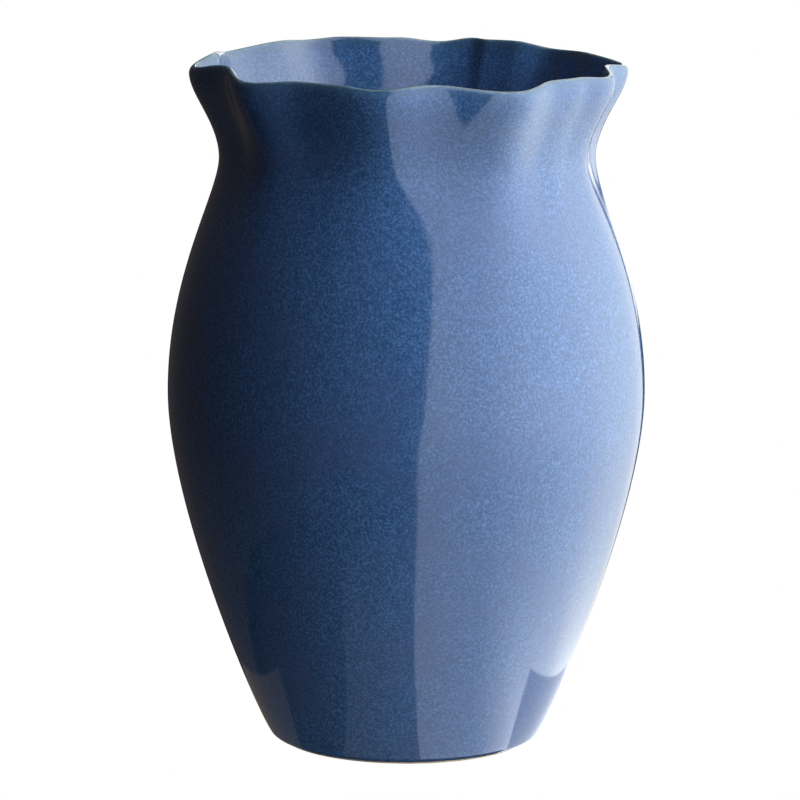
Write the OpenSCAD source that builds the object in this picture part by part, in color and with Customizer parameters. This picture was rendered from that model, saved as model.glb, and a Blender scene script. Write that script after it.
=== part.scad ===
// Flower vase: a turned stoneware belly on a low foot, a pulled-in neck and a hand-pinched, wavy lip.
// Origin: centre of the foot's contact face, +Z up. Millimetres.
// Clay and glaze coats share the same facets, so they meet face to face.

/* [Body] */
// Height of the lip's crest, midway between its waves
height = 307; // [297:1:317]
// Diameter of the belly's widest ring
belly_d = 214; // [204:1:224]
// Height of the belly's widest ring
belly_z = 159; // [151:1:167]
// Diameter of the neck's narrowest ring
neck_d = 166; // [158:1:174]
// Height of the neck's narrowest ring
neck_z = 266; // [261:1:271]
// Diameter of the lip's outward roll, midway between its waves
lip_d = 189; // [183:1:195]

/* [Foot] */
// Diameter at which the wall starts to turn under
foot_d = 120; // [114:1:126]
// Height at which the wall starts to turn under
foot_z = 3; // [2.8:0.1:3.4]
// Lean of the wall there, measured from the vertical
foot_lean = 48.5; // [46:0.5:52]
// Radius of the round that turns the wall under
foot_round = 9; // [8:0.5:10]
// How far the round turns from the vertical before the glaze stops
wipe_angle = 80; // [76:1:84]
// Diameter of the recess under the base
recess_d = 98; // [90:1:100]
// Height of the recess under the base
recess_h = 4.4; // [3.6:0.1:5]

/* [Walls] */
// Thickness of the wall at the belly, coats included
belly_t = 6; // [5:0.1:7]
// Thickness of the wall at the neck, coats included
neck_t = 5.2; // [4.6:0.1:6]
// Thickness of the wall at the lip, coats included
lip_t = 4.6; // [4:0.1:5.4]
// Height of the floor inside
floor_z = 12; // [10:0.5:14]
// Thickness of a glaze coat
glaze_t = 0.6; // [0.4:0.1:0.8]

/* [Wavy lip] */
// How far a full wave reaches in or out
wave_reach = 3.2; // [0:0.1:4]
// How far a full wave rises or dips
wave_rise = 1.4; // [0:0.1:2]
// Height at which the flutes under the waves have died out
flute_z = 203; // [193:1:213]

/* [Hidden] */

segments = 60;

// The lip was pinched by hand, so its waves are uneven: [angle, share of a full wave].
// How far it reaches out or comes in, ten times around, with a level stretch here and there
reach_waves = [
    [7, 1.4], [25, -0.7], [46, 0.9], [57, -0.7], [66, -0.6], [72, 0.9], [98, -0.95],
    [119, 0.85], [131, -0.5], [149, 0.8], [167, -1.0], [185, 0.95], [206, -1.1], [223, 0.9],
    [239, -0.8], [262, 0.95], [279, -1.05], [300, 1.4], [315, -0.8], [325, -0.5], [337, 0.8],
    [353, -1.2]
];
// How far its crest rises or dips, mostly dipping where it reaches out
rise_waves = [
    [7, -1.1], [25, 0.1], [46, -1.1], [57, 0.8], [71, 0.5], [81, -0.9], [93, 0.5], [109, 0.8],
    [119, 0.1], [129, 0.8], [149, -0.9], [167, 1.0], [185, -0.9], [206, 1.9], [223, -0.9],
    [239, 0.4], [250, 0.4], [261, -0.4], [275, 0.6], [299, -1.6], [315, 0.1], [325, 0],
    [337, -1.0], [353, 0.3]
];
flute_growth = 2;

// The lip's roll is the ring where the outside of the wall stands upright under the crest.
lip_crest_h = 3.5;
roll_z = height - lip_crest_h;
// On the inside the wall still flares there, this much across for each step up.
inner_flare = 0.3;

// Handle lengths of the wall's curves, on each side of the belly, the neck and the roll
foot_pull = 6.4;
belly_pull = [53, 54.5];
neck_pull = [16.3, 15.5];
roll_pull = 10;

// Inside, the floor is flat out to floor_r, then sweeps up into the wall.
floor_r = 48;
floor_pull = 17;

// Easing of the bare ring's lower edges, and the gap that keeps true circles inside faceted ones
ring_edge = 0.5;
ring_gap = 0.1;

clay_color = "#d8c3a0";
glaze_color = "#2b4a78";
break_color = "#a9bfc6";

// ---- Curves, as lists of [radius, height] ----

function bezier(a, b, c, d, steps) = [
    for (i = [0:steps])
        let (t = i / steps, u = 1 - t)
            u * u * u * a + 3 * u * u * t * b + 3 * u * t * t * c + t * t * t * d
];

function tail(list) = [for (i = [1:len(list) - 1]) list[i]];
function reversed(list) = [for (i = [len(list) - 1:-1:0]) list[i]];

// Wall above the belly: belly to neck to the lip's roll, at the given radii, ending upright or with a flare
function upper_wall(belly_r, neck_r, lip_r, flare = 0) = concat(
    tail(bezier([belly_r, belly_z], [belly_r, belly_z + belly_pull[1]],
                [neck_r, neck_z - neck_pull[0]], [neck_r, neck_z], 6)),
    tail(bezier([neck_r, neck_z], [neck_r, neck_z + neck_pull[1]],
                [lip_r - flare * roll_pull, roll_z - roll_pull], [lip_r, roll_z], 5))
);

// Outside of the wall, from the wiped edge at the foot up to the roll, at a depth under the glaze's surface
function outside(depth) =
    let (
        inward = [-cos(foot_lean), sin(foot_lean)],
        start = [foot_d / 2, foot_z],
        centre = start + foot_round * inward,
        foot = start + depth * inward,
        belly_r = belly_d / 2 - depth
    )
    concat(
        [for (a = [wipe_angle, (wipe_angle + foot_lean) / 2])
            centre + (foot_round - depth) * [cos(a), -sin(a)]],
        bezier(foot, foot + foot_pull * [sin(foot_lean), cos(foot_lean)],
               [belly_r, belly_z - belly_pull[0]], [belly_r, belly_z], 6),
        upper_wall(belly_r, neck_d / 2 - depth, lip_d / 2 - depth)
    );

// Inside of the wall, from the floor up to the roll, at a depth under the glaze's surface
function inside(depth) =
    let (
        belly_r = belly_d / 2 - belly_t + depth,
        floor_h = floor_z - depth
    )
    concat(
        bezier([floor_r, floor_h], [floor_r + floor_pull, floor_h],
               [belly_r, belly_z - belly_pull[0]], [belly_r, belly_z], 6),
        upper_wall(belly_r, neck_d / 2 - neck_t + depth, lip_d / 2 - lip_t + depth, inner_flare)
    );

// Crest of the lip, over from the outside of the roll to the inside, which keeps the wall's flare
function crest(depth) =
    let (
        middle = (lip_d - lip_t) / 2,
        width = lip_t / 2 - depth,
        rise = lip_crest_h - depth,
        top = roll_z + rise
    )
    concat(
        bezier([middle + width, roll_z], [middle + width, roll_z + 0.55 * rise],
               [middle + 0.55 * width, top], [middle, top], 3),
        tail(bezier([middle, top], [middle - 0.55 * width, top],
                    [middle - width + 0.4 * inner_flare * rise, roll_z + 0.4 * rise],
                    [middle - width, roll_z], 3))
    );

// The crest without its two ends, which the walls already hold
function crest_top(depth) =
    let (ring = crest(depth))
        [for (i = [1:len(ring) - 2]) ring[i]];

// ---- The waves of the lip ----

// Share of a full wave at an angle, eased from one stop of a list to the next
function wave(waves, angle) =
    let (
        turn = angle < waves[0][0] ? angle + 360 : angle,
        i = len([for (w = waves) if (w[0] <= turn) w]) - 1,
        from = waves[i],
        to = i + 1 < len(waves) ? waves[i + 1] : waves[0] + [360, 0],
        along = (turn - from[0]) / (to[0] - from[0])
    )
    from[1] + (to[1] - from[1]) * (1 - cos(180 * along)) / 2;

angles = [for (j = [0:segments - 1]) j * 360 / segments];
reaches = [for (a = angles) wave_reach * wave(reach_waves, a)];
rises = [for (a = angles) wave_rise * wave(rise_waves, a)];

// How strongly the waves show at a height: nothing at the foot of the flutes, all of it at the roll
function flute(z) = pow(min(1, max(0, (z - flute_z) / (roll_z - flute_z))), flute_growth);

function shaped(p, j) =
    let (f = flute(p[1]), r = p[0] + f * reaches[j])
        [r * cos(angles[j]), r * sin(angles[j]), p[1] + f * rises[j]];

// ---- Solids ----

// Turns rings of [radius, height], listed counter-clockwise in section, into a closed solid.
// With no caps the last ring joins the first; with caps, both ends close on the axis at those heights.
// Each facet's diagonal depends only on its place, so solids that share rings share facets.
module turned(rings, caps = []) {
    n = len(rings);
    on_axis = n * segments;
    last = len(caps) == 0 ? n - 1 : n - 2;
    function at(i, j) = (i % n) * segments + j % segments;
    function climbs(i) =
        let (step = rings[(i + 1) % n] - rings[i])
            abs(step[1]) > 0.001 ? step[1] > 0 : step[0] > 0;
    polyhedron(
        points = concat(
            [for (p = rings) for (j = [0:segments - 1]) shaped(p, j)],
            [for (z = caps) [0, 0, z]]
        ),
        faces = concat(
            [for (i = [0:last]) for (j = [0:segments - 1])
                let (a = at(i, j), b = at(i + 1, j), c = at(i + 1, j + 1), d = at(i, j + 1))
                    each climbs(i) ? [[a, b, c], [a, c, d]] : [[a, b, d], [b, c, d]]],
            len(caps) == 0 ? [] : [for (j = [0:segments - 1]) each [
                [on_axis, at(0, j), at(0, j + 1)],
                [at(n - 1, j), on_axis + 1, at(n - 1, j + 1)]
            ]]
        )
    );
}

// Clay wall and floor, with a recess under the base
module stoneware_body() {
    wall = outside(glaze_t);
    color(clay_color)
        turned(
            concat(
                [[recess_d / 2, recess_h], [recess_d / 2, wall[0][1]]],
                wall, crest_top(glaze_t), reversed(inside(glaze_t))
            ),
            caps = [recess_h, floor_z - glaze_t]
        );
}

// Bare clay ring that the vase stands on, its lower edges eased
module foot_ring() {
    wipe = outside(glaze_t)[0];
    inner = recess_d / 2;
    outer = wipe[0] - ring_gap;
    top = wipe[1];
    color(clay_color)
        rotate_extrude($fn = 120)
            polygon([
                [inner, top],
                [inner, ring_edge],
                [inner + ring_edge, 0],
                [outer - 2 * ring_edge, 0],
                [outer, ring_edge],
                [outer, top]
            ]);
}

// Glaze over the outside of the wall, wiped back from the foot
module outer_glaze() {
    color(glaze_color)
        turned(concat(outside(0), reversed(outside(glaze_t))));
}

// Glaze over the floor and the inside of the wall
module inner_glaze() {
    color(glaze_color)
        turned(
            concat(inside(glaze_t), reversed(inside(0))),
            caps = [floor_z - glaze_t, floor_z]
        );
}

// Glaze over the crest of the lip, where it thins and breaks pale
module lip_glaze() {
    color(break_color)
        turned(concat(crest(0), reversed(crest(glaze_t))));
}

// Glaze in the recess under the base
module base_glaze() {
    color(glaze_color)
        translate([0, 0, recess_h - glaze_t])
            cylinder(h = glaze_t, r = recess_d / 2 - ring_gap, $fn = 120);
}

stoneware_body();
foot_ring();
outer_glaze();
inner_glaze();
lip_glaze();
base_glaze();
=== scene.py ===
# Flower vase: glazed stoneware with a round belly, a pulled-in neck and a hand-pinched, wavy lip.
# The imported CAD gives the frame. Each clay and glaze piece is remade here as a fine mesh of the same shape.
# The wall's profile is in millimetres, as in the CAD. Everything placed in the scene is in metres, +Z up.
import math

import bpy
import numpy as np
from mathutils import Matrix, Vector


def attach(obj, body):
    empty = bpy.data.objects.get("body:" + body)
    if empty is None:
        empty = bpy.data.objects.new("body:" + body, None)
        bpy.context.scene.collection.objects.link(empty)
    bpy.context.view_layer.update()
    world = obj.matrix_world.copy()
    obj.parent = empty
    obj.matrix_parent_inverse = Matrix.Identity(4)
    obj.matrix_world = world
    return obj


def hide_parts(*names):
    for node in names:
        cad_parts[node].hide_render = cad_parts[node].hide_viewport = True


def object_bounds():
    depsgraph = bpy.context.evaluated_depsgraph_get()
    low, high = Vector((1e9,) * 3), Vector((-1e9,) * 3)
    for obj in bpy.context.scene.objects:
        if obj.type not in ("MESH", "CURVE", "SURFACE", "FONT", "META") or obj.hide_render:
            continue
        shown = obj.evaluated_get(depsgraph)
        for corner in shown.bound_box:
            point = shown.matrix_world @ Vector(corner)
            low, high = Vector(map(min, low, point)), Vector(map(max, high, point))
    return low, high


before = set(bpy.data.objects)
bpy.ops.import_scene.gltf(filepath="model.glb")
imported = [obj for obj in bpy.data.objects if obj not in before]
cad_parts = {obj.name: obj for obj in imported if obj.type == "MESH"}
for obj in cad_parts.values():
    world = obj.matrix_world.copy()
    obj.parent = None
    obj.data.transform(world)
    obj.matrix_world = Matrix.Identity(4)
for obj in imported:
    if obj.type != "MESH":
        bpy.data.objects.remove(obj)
cad_low, cad_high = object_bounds()

MM = 0.001

# ---- The wall's driving sizes, in millimetres ----

HEIGHT = 307
BELLY_D, BELLY_Z = 214, 159
NECK_D, NECK_Z = 166, 266
LIP_D = 189
FOOT_D, FOOT_Z, FOOT_LEAN, FOOT_ROUND, WIPE_ANGLE = 120, 3, 48.5, 9, 80
RECESS_D, RECESS_H = 98, 4.4
BELLY_T, NECK_T, LIP_T = 6, 5.2, 4.6
FLOOR_Z, FLOOR_R, FLOOR_PULL = 12, 48, 17
GLAZE_T = 0.6
LIP_CREST_H = 3.5
# Inside the lip the wall still flares this much, across for each step up, where it meets the crest.
INNER_FLARE = 0.3
ROLL_Z = HEIGHT - LIP_CREST_H
# Handle lengths of the wall's curves. The crest's are shares of its width and its rise.
FOOT_PULL, BELLY_PULL, NECK_PULL, ROLL_PULL = 6.4, (53, 54.5), (16.3, 15.5), 10
CREST_PULL, CREST_INNER_PULL = 0.55, 0.4
# Easing of the foot ring's and the base glaze's edges, and the gap that both keep to the wall
RING_EDGE, BASE_EDGE, RING_GAP = 0.5, 0.35, 0.1

# The lip's waves: (angle, share of a full wave), for how far it reaches out and how far its crest rises
WAVE_REACH, WAVE_RISE = 3.2, 1.4
FLUTE_Z, FLUTE_GROWTH = 203, 2
REACH_WAVES = [
    (7, 1.4), (25, -0.7), (46, 0.9), (57, -0.7), (66, -0.6), (72, 0.9), (98, -0.95),
    (119, 0.85), (131, -0.5), (149, 0.8), (167, -1.0), (185, 0.95), (206, -1.1), (223, 0.9),
    (239, -0.8), (262, 0.95), (279, -1.05), (300, 1.4), (315, -0.8), (325, -0.5), (337, 0.8),
    (353, -1.2),
]
RISE_WAVES = [
    (7, -1.1), (25, 0.1), (46, -1.1), (57, 0.8), (71, 0.5), (81, -0.9), (93, 0.5), (109, 0.8),
    (119, 0.1), (129, 0.8), (149, -0.9), (167, 1.0), (185, -0.9), (206, 1.9), (223, -0.9),
    (239, 0.4), (250, 0.4), (261, -0.4), (275, 0.6), (299, -1.6), (315, 0.1), (325, 0),
    (337, -1.0), (353, 0.3),
]

# ---- How fine the meshes are ----

SEGMENTS = 360
ARC_STEPS, LOWER_STEPS, UPPER_STEPS, FLARE_STEPS, CREST_STEPS = 8, 44, 44, 24, 24
EDGE_STEPS, DISC_STEPS = 5, 3
# Where one piece hides another, only every fourth ring is kept.
HIDDEN_STEP = 4
# Shorter than any face's normal before it is scaled, so a face without area doesn't divide by zero
TINY = 1e-12


# ---- Profiles, as arrays of [radius, height] ----


def bezier(a, b, c, d, steps):
    t = np.linspace(0, 1, steps + 1)[:, None]
    a, b, c, d = (np.array(p, float) for p in (a, b, c, d))
    return (1 - t) ** 3 * a + 3 * (1 - t) ** 2 * t * b + 3 * (1 - t) * t**2 * c + t**3 * d


def upper_wall(belly_r, neck_r, lip_r, flare=0.0):
    """Belly to neck to the lip's roll, without the belly's own ring, ending upright or with a flare."""
    to_neck = bezier(
        [belly_r, BELLY_Z], [belly_r, BELLY_Z + BELLY_PULL[1]],
        [neck_r, NECK_Z - NECK_PULL[0]], [neck_r, NECK_Z], UPPER_STEPS,
    )
    to_roll = bezier(
        [neck_r, NECK_Z], [neck_r, NECK_Z + NECK_PULL[1]],
        [lip_r - flare * ROLL_PULL, ROLL_Z - ROLL_PULL], [lip_r, ROLL_Z], FLARE_STEPS,
    )
    return np.vstack([to_neck[1:], to_roll[1:]])


def outside(depth):
    """From the wiped edge at the foot up to the roll, at a depth under the glaze's surface."""
    lean = math.radians(FOOT_LEAN)
    inward = np.array([-math.cos(lean), math.sin(lean)])
    start = np.array([FOOT_D / 2, FOOT_Z])
    turn = np.linspace(math.radians(WIPE_ANGLE), lean, ARC_STEPS + 1)[:-1]
    arc = start + FOOT_ROUND * inward
    arc = arc + (FOOT_ROUND - depth) * np.stack([np.cos(turn), -np.sin(turn)], axis=1)
    foot = start + depth * inward
    pulled = foot + FOOT_PULL * np.array([math.sin(lean), math.cos(lean)])
    belly_r = BELLY_D / 2 - depth
    lower = bezier(foot, pulled, [belly_r, BELLY_Z - BELLY_PULL[0]], [belly_r, BELLY_Z], LOWER_STEPS)
    return np.vstack([arc, lower, upper_wall(belly_r, NECK_D / 2 - depth, LIP_D / 2 - depth)])


def inside(depth):
    """From the edge of the flat floor up to the roll, at a depth under the glaze's surface."""
    belly_r = BELLY_D / 2 - BELLY_T + depth
    floor_z = FLOOR_Z - depth
    lower = bezier(
        [FLOOR_R, floor_z], [FLOOR_R + FLOOR_PULL, floor_z],
        [belly_r, BELLY_Z - BELLY_PULL[0]], [belly_r, BELLY_Z], LOWER_STEPS,
    )
    neck_r = NECK_D / 2 - NECK_T + depth
    return np.vstack([lower, upper_wall(belly_r, neck_r, LIP_D / 2 - LIP_T + depth, INNER_FLARE)])


def crest(depth):
    """Over the top of the lip, from the outside of the roll to the inside, which keeps the wall's flare."""
    middle, top = (LIP_D - LIP_T) / 2, HEIGHT - depth
    width, rise = LIP_T / 2 - depth, LIP_CREST_H - depth
    outer = bezier(
        [middle + width, ROLL_Z], [middle + width, ROLL_Z + CREST_PULL * rise],
        [middle + CREST_PULL * width, top], [middle, top], CREST_STEPS // 2,
    )
    inner = bezier(
        [middle, top], [middle - CREST_PULL * width, top],
        [middle - width + CREST_INNER_PULL * INNER_FLARE * rise, ROLL_Z + CREST_INNER_PULL * rise],
        [middle - width, ROLL_Z], CREST_STEPS // 2,
    )
    return np.vstack([outer, inner[1:]])


# ---- The shape in the round ----


def wave(waves, angle):
    """Share of a full wave at an angle in degrees, eased from one stop to the next."""
    first = waves[0]
    stops = [*waves, (first[0] + 360, first[1])]
    turn = angle + 360 if angle < first[0] else angle
    i = max(k for k, w in enumerate(waves) if w[0] <= turn)
    along = (turn - stops[i][0]) / (stops[i + 1][0] - stops[i][0])
    return stops[i][1] + (stops[i + 1][1] - stops[i][1]) * (1 - math.cos(math.pi * along)) / 2


ANGLES = np.arange(SEGMENTS) * 360 / SEGMENTS
REACHES = WAVE_REACH * np.array([wave(REACH_WAVES, a) for a in ANGLES])
RISES = WAVE_RISE * np.array([wave(RISE_WAVES, a) for a in ANGLES])


def shaped(profile):
    """Rings of points, (rings, segments, 3) in metres, of a profile with the lip's waves on it."""
    radius, height = profile[:, 0, None], profile[:, 1, None]
    flute = np.clip((height - FLUTE_Z) / (ROLL_Z - FLUTE_Z), 0, 1) ** FLUTE_GROWTH
    radius = radius + flute * REACHES
    height = height + flute * RISES
    turn = np.radians(ANGLES)
    rings = np.stack([radius * np.cos(turn), radius * np.sin(turn), height], axis=2) * MM
    # The CAD's facets cut a few hundredths of a millimetre off the highest wave, and this does too.
    return np.minimum(rings, list(cad_high))


def surface_normals(rings):
    """Outward normals of rings that run up the outside and down the inside."""
    along = np.gradient(rings, axis=0)
    around = np.roll(rings, -1, axis=1) - np.roll(rings, 1, axis=1)
    normals = np.cross(around, along)
    return normals / np.linalg.norm(normals, axis=2, keepdims=True)


def skin(depth):
    """The whole wall at a depth under the glaze's surface: up the outside, over, down the inside."""
    profile = np.vstack([outside(depth), crest(depth)[1:-1], inside(depth)[::-1]])
    rings = shaped(profile)
    return rings, surface_normals(rings)


OUTSIDE_RINGS = len(outside(0))
CREST_END = OUTSIDE_RINGS + CREST_STEPS
SURFACE, SURFACE_NORMALS = skin(0)
CLAY, CLAY_NORMALS = skin(GLAZE_T)


def thinned(rings):
    """Every fourth ring, with both ends kept."""
    kept = sorted({*range(0, len(rings), HIDDEN_STEP), len(rings) - 1})
    return rings[kept]


def flat_disc(rim, height):
    """Rings from near the axis out to a rim of points, at one height."""
    shares = np.linspace(0, 1, DISC_STEPS + 1)[1:]
    rings = shares[:, None, None] * rim
    rings[:, :, 2] = height
    return rings


# ---- Meshes ----


def new_object(name, data):
    made = bpy.data.objects.new(name, data)
    bpy.context.scene.collection.objects.link(made)
    return made


def corner_normals(patch, normals, i, j, k):
    """Normals at the corners of the face between ring i and the next. Without normals the face is flat."""
    if normals is not None:
        near, far = normals[i], normals[i + 1]
        return [near[j], near[k], far[k], far[j]]
    face = np.cross(patch[i + 1][k] - patch[i][j], patch[i + 1][j] - patch[i][k])
    return [face / max(np.linalg.norm(face), TINY)] * 4


def band_faces(patches, count):
    """Faces of all the patches, on count rings, and the normals at their corners."""
    faces, normals = [], []
    base = 0
    for patch, patch_normals in patches:
        for i in range(len(patch) - 1):
            low, high = (base + i) * SEGMENTS, (base + i + 1) % count * SEGMENTS
            for j in range(SEGMENTS):
                k = (j + 1) % SEGMENTS
                faces.append((low + j, low + k, high + k, high + j))
                normals += corner_normals(patch, patch_normals, i, j, k)
        base += len(patch) - 1
    return faces, normals


def pole_faces(count):
    """Faces that close the first ring from below and the last from above, and their normals."""
    start, end = count * SEGMENTS, count * SEGMENTS + 1
    last = (count - 1) * SEGMENTS
    faces, normals = [], []
    for j in range(SEGMENTS):
        k = (j + 1) % SEGMENTS
        faces += [(start, k, j), (end, last + j, last + k)]
        normals += [(0, 0, -1)] * 3 + [(0, 0, 1)] * 3
    return faces, normals


def turned(name, patches, poles=()):
    """A closed mesh of rings around the axis, from patches of (rings, normals).

    Each patch starts on the ring where the one before it ends. A patch with no normals is flat-shaded.
    Without poles the last patch ends on the first ring. With two heights as poles, both ends close
    on the axis.
    """
    rings = [ring for points, _ in patches for ring in points[:-1]]
    if poles:
        rings.append(patches[-1][0][-1])
    points = np.concatenate(rings)
    faces, normals = band_faces(patches, len(rings))
    if poles:
        points = np.vstack([points, [[0, 0, poles[0]], [0, 0, poles[1]]]])
        more_faces, more_normals = pole_faces(len(rings))
        faces += more_faces
        normals += more_normals
    mesh = bpy.data.meshes.new(name)
    mesh.from_pydata(points.tolist(), [], faces)
    mesh.polygons.foreach_set("use_smooth", [True] * len(faces))
    mesh.normals_split_custom_set([tuple(n) for n in normals])
    mesh.update()
    return new_object(name, mesh)


# ---- Pieces ----


def finish_piece(piece, node, material):
    """Puts the piece in place of its CAD node, with its depth below the lip's crest kept for the glaze."""
    mesh = piece.data
    heights = np.array([v.co.z for v in mesh.vertices])
    crest_heights = (HEIGHT + RISES) * MM
    below = crest_heights[np.arange(len(heights)) % SEGMENTS] - heights
    mesh.attributes.new("below_crest", "FLOAT", "POINT").data.foreach_set("value", below)
    mesh.materials.append(material)
    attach(piece, "root")
    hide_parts(node)


def coat(name, start, end):
    """A glaze coat between two rings of the skin, closed against the clay."""
    front, back = SURFACE[start:end + 1], thinned(CLAY[start:end + 1])[::-1]
    back_normals = -thinned(CLAY_NORMALS[start:end + 1])[::-1]
    return turned(name, [
        (front, SURFACE_NORMALS[start:end + 1]),
        (np.stack([front[-1], back[0]]), None),
        (back, back_normals),
        (np.stack([back[-1], front[0]]), None),
    ])


def outer_glaze():
    return coat("vase_outer_glaze", 0, OUTSIDE_RINGS - 1)


def lip_glaze():
    return coat("vase_lip_glaze", OUTSIDE_RINGS - 1, CREST_END - 1)


def inner_glaze():
    """Glaze on the inside of the wall and over the floor."""
    front, front_normals = SURFACE[CREST_END - 1:], SURFACE_NORMALS[CREST_END - 1:]
    back = thinned(CLAY[CREST_END - 1:])[::-1]
    back_normals = -thinned(CLAY_NORMALS[CREST_END - 1:])[::-1]
    under, top = (FLOOR_Z - GLAZE_T) * MM, FLOOR_Z * MM
    return turned("vase_inner_glaze", [
        (flat_disc(back[0], under), None),
        (back, back_normals),
        (np.stack([back[-1], front[0]]), None),
        (front, front_normals),
        (flat_disc(front[-1], top)[::-1], None),
    ], poles=(under, top))


def circle(radius, height):
    """One ring of points, given in millimetres."""
    turn = np.radians(ANGLES)
    ring = np.stack([radius * np.cos(turn), radius * np.sin(turn), np.full(SEGMENTS, height)], axis=1)
    return ring * MM


def circles(profile):
    return np.stack([circle(radius, height) for radius, height in profile])


def stoneware_body():
    """Clay wall and floor, with a recess under the base."""
    top = FLOOR_Z - GLAZE_T
    ring_top = CLAY[0][0][2] / MM
    rim = circle(RECESS_D / 2, RECESS_H)
    return turned("vase_stoneware_body", [
        (flat_disc(rim, RECESS_H * MM), None),
        (np.stack([rim, circle(RECESS_D / 2, ring_top)]), None),
        (np.stack([circle(RECESS_D / 2, ring_top), CLAY[0]]), None),
        (thinned(CLAY), thinned(CLAY_NORMALS)),
        (flat_disc(CLAY[-1], top * MM)[::-1], None),
    ], poles=(RECESS_H * MM, top * MM))


def flat_bands(rings):
    """A flat-shaded patch between each ring and the next."""
    return [(rings[i:i + 2], None) for i in range(len(rings) - 1)]


def foot_ring():
    """Bare ring that the vase stands on, its lower edges rounded by the sponge."""
    edge, half = RING_EDGE, RING_EDGE / 2
    inner, outer = RECESS_D / 2, np.hypot(*CLAY[0][0][:2]) / MM - RING_GAP
    top = CLAY[0][0][2] / MM
    outer_edge = bezier(
        [outer - 2 * edge, 0], [outer - edge, 0], [outer, half], [outer, edge], EDGE_STEPS,
    )
    inner_edge = bezier(
        [inner, edge], [inner, half], [inner + half, 0], [inner + edge, 0], EDGE_STEPS,
    )
    rings = circles(np.vstack([outer_edge, [[outer, top], [inner, top]], inner_edge]))
    closing = (np.stack([rings[-1], rings[0]]), None)
    return turned("vase_foot_ring", [*flat_bands(rings), closing])


def base_glaze():
    """Glaze in the recess under the base, its rim rounded."""
    edge, half = BASE_EDGE, BASE_EDGE / 2
    radius, low, high = RECESS_D / 2 - RING_GAP, RECESS_H - GLAZE_T, RECESS_H
    rim = bezier(
        [radius - edge, low], [radius - half, low],
        [radius, low + half], [radius, low + edge], EDGE_STEPS,
    )
    rings = circles(np.vstack([rim, [[radius, high]]]))
    under = (flat_disc(rings[0], low * MM), None)
    over = (flat_disc(rings[-1], high * MM)[::-1], None)
    return turned("vase_base_glaze", [under, *flat_bands(rings), over], poles=(low * MM, high * MM))


# ---- Materials ----


def add(tree, kind, inputs=None, **settings):
    """Adds a node. Each input is a value, or a socket to link."""
    made = tree.nodes.new("ShaderNode" + kind)
    for name, value in settings.items():
        setattr(made, name, value)
    for name, value in (inputs or {}).items():
        if isinstance(value, bpy.types.NodeSocket):
            tree.links.new(value, made.inputs[name])
        else:
            made.inputs[name].default_value = value
    return made


def empty_material(name):
    material = bpy.data.materials.new(name)
    material.use_nodes = True
    material.node_tree.nodes.clear()
    return material, material.node_tree


def new_material(name):
    """A material with a Principled shader, its node tree, the shader, and coordinates in metres."""
    material, tree = empty_material(name)
    shader = add(tree, "BsdfPrincipled")
    output = add(tree, "OutputMaterial")
    tree.links.new(shader.outputs["BSDF"], output.inputs["Surface"])
    return material, tree, shader, add(tree, "TexCoord").outputs["Object"]


def noise(tree, place, size, detail=2.0, roughness=0.5):
    """Cloudy noise whose features are about size metres across."""
    return add(tree, "TexNoise", {
        "Vector": place, "Scale": 1 / size, "Detail": detail, "Roughness": roughness,
    }).outputs[0]


def ramp(tree, value, low, high, to_low=0.0, to_high=1.0, smooth=False):
    return add(tree, "MapRange", {
        "Value": value, "From Min": low, "From Max": high, "To Min": to_low, "To Max": to_high,
    }, interpolation_type="SMOOTHSTEP" if smooth else "LINEAR").outputs["Result"]


def arithmetic(tree, operation, a, b):
    return add(tree, "Math", {0: a, 1: b}, operation=operation).outputs[0]


def mixed(tree, factor, a, b):
    return add(tree, "Mix", {0: factor, 6: a, 7: b}, data_type="RGBA").outputs[2]


def rgb(red, green, blue):
    return (red, green, blue, 1.0)


DEEP_BLUE = rgb(0.028, 0.075, 0.172)
SOFT_BLUE = rgb(0.088, 0.195, 0.395)
VIOLET_BLUE = rgb(0.060, 0.096, 0.210)
LIP_TEAL = rgb(0.055, 0.115, 0.170)
LIP_PALE = rgb(0.160, 0.240, 0.250)
PINHOLE = rgb(0.200, 0.270, 0.380)
CLAY_DARK, CLAY_LIGHT = rgb(0.50, 0.38, 0.25), rgb(0.72, 0.60, 0.45)
CLAY_SAND, CLAY_SPECK = rgb(0.40, 0.29, 0.19), rgb(0.10, 0.06, 0.04)

# Sizes of the glaze's mottling, from fine grain to slow drift, and of its orange peel, in metres
GRAIN_SIZE, CLOUD_SIZE, DRIFT_SIZE, PEEL_SIZE = 0.0011, 0.0042, 0.038, 0.006
GRAIN_SHARE, CLOUD_SHARE = 0.85, 0.15
# Cells to a metre, with one pinhole or speck in each
PINHOLE_SCALE, SPECK_SCALE = 55.0, 420.0
# Where the glaze turns teal and breaks pale, in metres below the crest, and how ragged those edges are
TEAL_BAND, PALE_BAND = (0.001, 0.006), (0.0, 0.0009)
RAGGED, RAGGED_SIZE = 0.0006, 0.004


def cell_spots(tree, place, scale, inner, outer):
    """1 inside a small spot in each cell and 0 outside it."""
    spots = add(tree, "TexVoronoi", {"Vector": place, "Scale": scale}, feature="F1")
    return ramp(tree, spots.outputs["Distance"], inner, outer, 1.0, 0.0)


def mottled(tree, place, grain):
    """Deep and soft blue in fine mottling, with patches that drift towards violet."""
    fine = ramp(tree, grain, 0.44, 0.70)
    coarse = ramp(tree, noise(tree, place, CLOUD_SIZE, 3.0, 0.6), 0.30, 0.70)
    finer_share = arithmetic(tree, "MULTIPLY", fine, GRAIN_SHARE)
    coarser_share = arithmetic(tree, "MULTIPLY", coarse, CLOUD_SHARE)
    speckle = arithmetic(tree, "ADD", finer_share, coarser_share)
    drift = ramp(tree, noise(tree, place, DRIFT_SIZE, 2.0, 0.5), 0.45, 0.75, 0.0, 0.6)
    return mixed(tree, drift, mixed(tree, speckle, DEEP_BLUE, SOFT_BLUE), VIOLET_BLUE)


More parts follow.
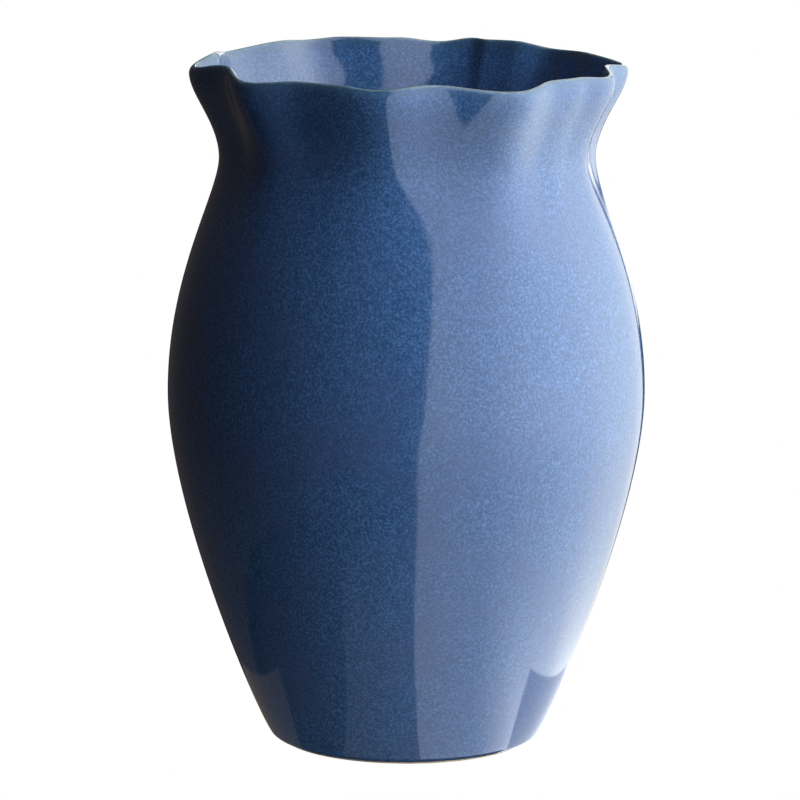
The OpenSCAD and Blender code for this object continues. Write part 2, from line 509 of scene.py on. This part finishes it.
def broken_at_crest(tree, place, colour):
    """The glaze's colour, turned teal just below the lip's crest and pale on it."""
    below = add(tree, "Attribute", attribute_name="below_crest").outputs["Fac"]
    ragged = ramp(tree, noise(tree, place, RAGGED_SIZE, 3.0), 0.0, 1.0, -RAGGED, RAGGED)
    below = arithmetic(tree, "ADD", below, ragged)
    colour = mixed(tree, ramp(tree, below, *TEAL_BAND, 0.5, 0.0, smooth=True), colour, LIP_TEAL)
    return mixed(tree, ramp(tree, below, *PALE_BAND, 0.9, 0.0, smooth=True), colour, LIP_PALE)


def glaze(name):
    """Glossy navy glaze, finely mottled, which thins over the lip's crest and breaks pale."""
    material, tree, shader, place = new_material(name)
    grain = noise(tree, place, GRAIN_SIZE, 3.0, 0.65)
    pinholes = cell_spots(tree, place, PINHOLE_SCALE, 0.012, 0.022)
    colour = mixed(tree, pinholes, mottled(tree, place, grain), PINHOLE)
    tree.links.new(broken_at_crest(tree, place, colour), shader.inputs["Base Color"])
    tree.links.new(ramp(tree, grain, 0.3, 0.7, 0.07, 0.12), shader.inputs["Roughness"])
    shader.inputs["IOR"].default_value = 1.5

    peel = noise(tree, place, PEEL_SIZE, 2.0)
    pores = arithmetic(tree, "MULTIPLY", pinholes, -1.0)
    orange_peel = add(tree, "Bump", {"Height": peel, "Distance": 0.00002})
    texture = add(tree, "Bump", {"Height": grain, "Distance": 0.000003, "Normal": orange_peel.outputs[0]})
    pitted = add(tree, "Bump", {"Height": pores, "Distance": 0.0001, "Normal": texture.outputs[0]})
    tree.links.new(pitted.outputs[0], shader.inputs["Normal"])
    return material


def clay(name):
    """Bare stoneware: matte, sandy, with dark iron specks."""
    material, tree, shader, place = new_material(name)
    tone = noise(tree, place, 0.009, 4.0, 0.6)
    sand = noise(tree, place, 0.0006, 3.0, 0.7)
    colour = mixed(tree, ramp(tree, tone, 0.3, 0.7), CLAY_DARK, CLAY_LIGHT)
    colour = mixed(tree, ramp(tree, sand, 0.3, 0.7, 0.0, 0.35), colour, CLAY_SAND)
    specks = cell_spots(tree, place, SPECK_SCALE, 0.08, 0.16)
    colour = mixed(tree, specks, colour, CLAY_SPECK)
    tree.links.new(colour, shader.inputs["Base Color"])
    tree.links.new(ramp(tree, sand, 0.3, 0.7, 0.75, 0.95), shader.inputs["Roughness"])
    bump = add(tree, "Bump", {"Height": sand, "Distance": 0.00012})
    tree.links.new(bump.outputs[0], shader.inputs["Normal"])
    return material


def emission_material(name, colour=None):
    """Emission in one colour, or else in the colour that each corner holds."""
    material, tree = empty_material(name)
    if colour is None:
        colour = add(tree, "Attribute", attribute_name="glow").outputs["Color"]
    emission = add(tree, "Emission", {"Color": colour, "Strength": 1.0})
    output = add(tree, "OutputMaterial")
    tree.links.new(emission.outputs[0], output.inputs["Surface"])
    return material


# ---- Studio ----


def stage_object(name, mesh, material):
    thing = new_object(name, mesh)
    mesh.materials.append(material)
    return thing


def glowing_grid(name, columns, rows, place, glow, material, lights=True):
    """A grid of faces that the camera doesn't see, and that only shows in reflections if not lights.

    place(u, v) gives a point, and glow(u, v) a colour, for shares u of the columns and v of the rows.
    """
    us, vs = np.linspace(0, 1, columns + 1), np.linspace(0, 1, rows + 1)
    corners = [(u, v) for v in vs for u in us]
    faces = []
    for i in range(rows):
        for j in range(columns):
            a = i * (columns + 1) + j
            faces.append((a, a + 1, a + columns + 2, a + columns + 1))
    mesh = bpy.data.meshes.new(name)
    mesh.from_pydata([place(u, v) for u, v in corners], [], faces)
    colours = np.array([[*glow(u, v), 1.0] for u, v in corners]).ravel()
    mesh.attributes.new("glow", "FLOAT_COLOR", "POINT").data.foreach_set("color", colours)
    thing = stage_object(name, mesh, material)
    thing.visible_camera = False
    thing.visible_diffuse = lights


def toward(turn, radius, height):
    """Point at a turn from the front towards the right, in degrees, and a distance from the axis."""
    return (radius * math.sin(math.radians(turn)), -radius * math.cos(math.radians(turn)), height)


def between(stops, x):
    """Colour at x, from (x, colour) stops."""
    xs = [s[0] for s in stops]
    return [np.interp(x, xs, [s[1][k] for s in stops]) for k in range(3)]


# The softbox curves around the axis. Its left edge's turn is set at heights in metres: it leans to the
# right up to 1.4 m, and is cut back to the left over that. Its colours are set by turn.
SOFTBOX_RADIUS, SOFTBOX_TOP, SOFTBOX_END = 1.3, 2.4, 156
SOFTBOX_EDGE = ((0, 0.45, 1.4, 1.6, 2.4), (8, 10.5, 20, 11, 8))
SOFTBOX_GLOW = [
    (10, (2.05, 2.15, 2.60)), (35, (2.15, 2.26, 2.70)), (55, (3.25, 3.40, 3.75)),
    (78, (4.10, 4.40, 4.85)), (104, (4.00, 4.05, 3.95)), (122, (2.85, 2.95, 2.85)),
    (136, (2.00, 2.05, 2.00)), (156, (1.50, 1.50, 1.45)),
]


def softbox_turn(u, height):
    start = np.interp(height, *SOFTBOX_EDGE)
    return start + (SOFTBOX_END - start) * u


def softbox(material):
    """Tall curved softbox, from just right of the front round to behind the right side."""
    glowing_grid(
        "softbox", 48, 16,
        lambda u, v: toward(softbox_turn(u, v * SOFTBOX_TOP), SOFTBOX_RADIUS, v * SOFTBOX_TOP),
        lambda u, v: between(SOFTBOX_GLOW, softbox_turn(u, v * SOFTBOX_TOP)),
        material,
    )


def softbox_top(material):
    """What the inside of the lip reflects from over the vase. It adds no light."""
    rise, reach = 1.2, 1.6

    def place(u, v):
        height = SOFTBOX_TOP + rise * min(1, 2 * v)
        return toward(softbox_turn(u, SOFTBOX_TOP), SOFTBOX_RADIUS * (1 - reach * v), height)

    def glow(u, v):
        share = np.interp(v, (0, 0.4, 1), (1.0, 0.6, 0.3))
        return [share * level for level in between(SOFTBOX_GLOW, softbox_turn(u, SOFTBOX_TOP))]

    glowing_grid("softbox_top", 24, 8, place, glow, material, lights=False)


# The table's layers lie just below the foot. Its lit part's left edge curves: its turn, and the share of
# the softbox's light that the table has, are set at distances from the axis in metres.
FOOT_SHADE_Z, LIT_TABLE_Z, DIM_TABLE_Z, BOUNCE_Z = -0.0005, -0.001, -0.002, -0.003
TABLE_NEAR = 0.06
TABLE_EDGE = ((0.060, 0.105, 0.143, 0.250, 0.420, 1.300), (7.5, 5.5, 4.1, 5.2, 5.0, 8.0))
TABLE_SHARE = ((0.06, 0.30, 0.60, 1.30), (0.80, 0.75, 0.90, 1.00))


def table_radius(v):
    return TABLE_NEAR + (SOFTBOX_RADIUS - TABLE_NEAR) * v


def lit_table(material):
    """The lit part of the table, from the foot out to the softbox, as the glaze reflects it."""
    def turn(u, v):
        start = np.interp(table_radius(v), *TABLE_EDGE)
        return start + (SOFTBOX_END - start) * u

    def glow(u, v):
        radius, angle = table_radius(v), turn(u, v)
        near = np.interp(radius, (0.10, 0.20), (1, 0))
        share = np.interp(radius, *TABLE_SHARE)
        share += near * np.interp(angle, (35, 60, 85), (0, 0.3, 0))
        return [share * level for level in between(SOFTBOX_GLOW, angle)]

    glowing_grid(
        "lit_table", 48, 36,
        lambda u, v: toward(turn(u, v), table_radius(v), LIT_TABLE_Z), glow, material, lights=False,
    )


def dim_table(material):
    """The table in half shade, left of its lit part and near the foot."""
    start, sweep = -29, 40
    shade = (0.24, 0.25, 0.27)

    def glow(u, v):
        share = np.interp(table_radius(v), (0.06, 0.12, 0.25), (1.0, 1.0, 0.0))
        return [level * share for level in shade]

    glowing_grid(
        "dim_table", 8, 36,
        lambda u, v: toward(start + sweep * u, table_radius(v), DIM_TABLE_Z), glow, material, lights=False,
    )


def foot_shade(material):
    """What lies close round the foot on the table: shaded on the left, lit on the right."""
    left, front, width, depth = -0.110, -0.036, 0.220, 0.116
    stops = [(0.45, (0.15, 0.12, 0.09)), (0.65, (1.30, 1.35, 1.50))]
    glowing_grid(
        "foot_shade", 12, 4,
        lambda u, v: (left + width * u, front + depth * v, FOOT_SHADE_Z),
        lambda u, v: between(stops, u), material, lights=False,
    )


ROOM_RADIUS = 1.5


def backdrop(material):
    """Bright strip behind the vase, right of the middle."""
    start, sweep, height, level = 160, 20, 1.2, 1.6
    glowing_grid(
        "backdrop", 6, 4,
        lambda u, v: toward(start + sweep * u, ROOM_RADIUS, height * v),
        lambda u, v: (level, level, level), material,
    )


def dim_room(material):
    """Dim room round the left side, a little brighter behind it."""
    start, sweep, bottom, height = -165, 150, -0.8, 2.4
    stops = [(-170, (0.06, 0.05, 0.05)), (-120, (0.06, 0.055, 0.06)), (-60, (0.02, 0.02, 0.03))]
    glowing_grid(
        "dim_room", 24, 4,
        lambda u, v: toward(start + sweep * u, ROOM_RADIUS, height * v + bottom),
        lambda u, v: between(stops, start + sweep * u), material,
    )


def soft_light(name, size, energy, place, aim):
    """An area light that makes no reflection of its own."""
    lamp = bpy.data.lights.new(name, "AREA")
    lamp.shape = "RECTANGLE"
    lamp.size, lamp.size_y = size
    lamp.energy = energy
    light = new_object(name, lamp)
    light.location = place
    light.rotation_euler = (Vector(aim) - light.location).to_track_quat("-Z", "Y").to_euler()
    light.visible_glossy = False
    light.visible_camera = False


def soft_lights():
    """From the front right, from behind the left side, and up from the table onto the lower body."""
    soft_light("key", (0.5, 0.4), 6.0, toward(58, 1.2, 0.05), (0, 0, 0.14))
    soft_light("fill", (1.2, 1.2), 7.0, toward(-145, 1.6, 0.9), (0, 0, 0.155))
    soft_light("table_bounce", (0.6, 0.4), 0.25, (0.14, -0.20, BOUNCE_Z), (0.14, -0.19, 1.0))


def floor():
    """White floor, seen by the camera only."""
    reach, z = 9.0, cad_low.z
    corners = [(-reach, -reach, z), (reach, -reach, z), (reach, reach, z), (-reach, reach, z)]
    mesh = bpy.data.meshes.new("floor")
    mesh.from_pydata(corners, [], [(0, 1, 2, 3)])
    ground = stage_object("floor", mesh, emission_material("white_floor", rgb(1, 1, 1)))
    ground.visible_glossy = False
    ground.visible_diffuse = False
    ground.visible_shadow = False


def white_surroundings():
    """White behind everything, which gives no light and no reflection."""
    world = bpy.data.worlds.new("white")
    world.use_nodes = True
    background = world.node_tree.nodes["Background"]
    background.inputs["Color"].default_value = rgb(1, 1, 1)
    background.inputs["Strength"].default_value = 1.0
    bpy.context.scene.world = world
    seen = world.cycles_visibility
    seen.diffuse = seen.glossy = seen.transmission = seen.scatter = False


# ---- Camera ----

# Distances are in metres, angles in degrees, the lens and its sensor in millimetres.
CAMERA_BACK, CAMERA_UP = 2.600, 0.6212
CAMERA_PITCH, CAMERA_YAW, CAMERA_ROLL = 10.1775, -0.0604, 0.3438
CAMERA_LENS, CAMERA_SENSOR = 264.72, 36.0


def camera():
    """A long lens in front of the vase and above it, looking down."""
    pitch, yaw, roll = (math.radians(a) for a in (CAMERA_PITCH, CAMERA_YAW, CAMERA_ROLL))
    forward = Vector((
        math.sin(yaw) * math.cos(pitch), math.cos(yaw) * math.cos(pitch), -math.sin(pitch),
    ))
    level = Vector((math.cos(yaw), -math.sin(yaw), 0))
    upright = level.cross(forward)
    right = math.cos(roll) * level + math.sin(roll) * upright
    up = math.cos(roll) * upright - math.sin(roll) * level
    data = bpy.data.cameras.new("camera")
    data.lens, data.sensor_width = CAMERA_LENS, CAMERA_SENSOR
    data.clip_start, data.clip_end = 0.1, 50.0
    eye = new_object("camera", data)
    turn = Matrix((right, up, -forward)).transposed()
    eye.matrix_world = Matrix.Translation((0, -CAMERA_BACK, CAMERA_UP)) @ turn.to_4x4()
    bpy.context.scene.camera = eye


# ---- Everything together ----

camera()
blue_glaze, pale_break, bare_clay = glaze("blue_glaze"), glaze("pale_break"), clay("bare_clay")
finish_piece(outer_glaze(), "outer_glaze", blue_glaze)
finish_piece(inner_glaze(), "inner_glaze", blue_glaze)
finish_piece(base_glaze(), "base_glaze", blue_glaze)
finish_piece(lip_glaze(), "lip_glaze", pale_break)
finish_piece(stoneware_body(), "stoneware_body", bare_clay)
finish_piece(foot_ring(), "foot_ring", bare_clay)

studio_glow = emission_material("studio_glow")
softbox(studio_glow)
softbox_top(studio_glow)
lit_table(studio_glow)
dim_table(studio_glow)
foot_shade(studio_glow)
backdrop(studio_glow)
dim_room(studio_glow)
soft_lights()
floor()
white_surroundings()
bpy.context.scene.view_settings.view_transform = "Standard"
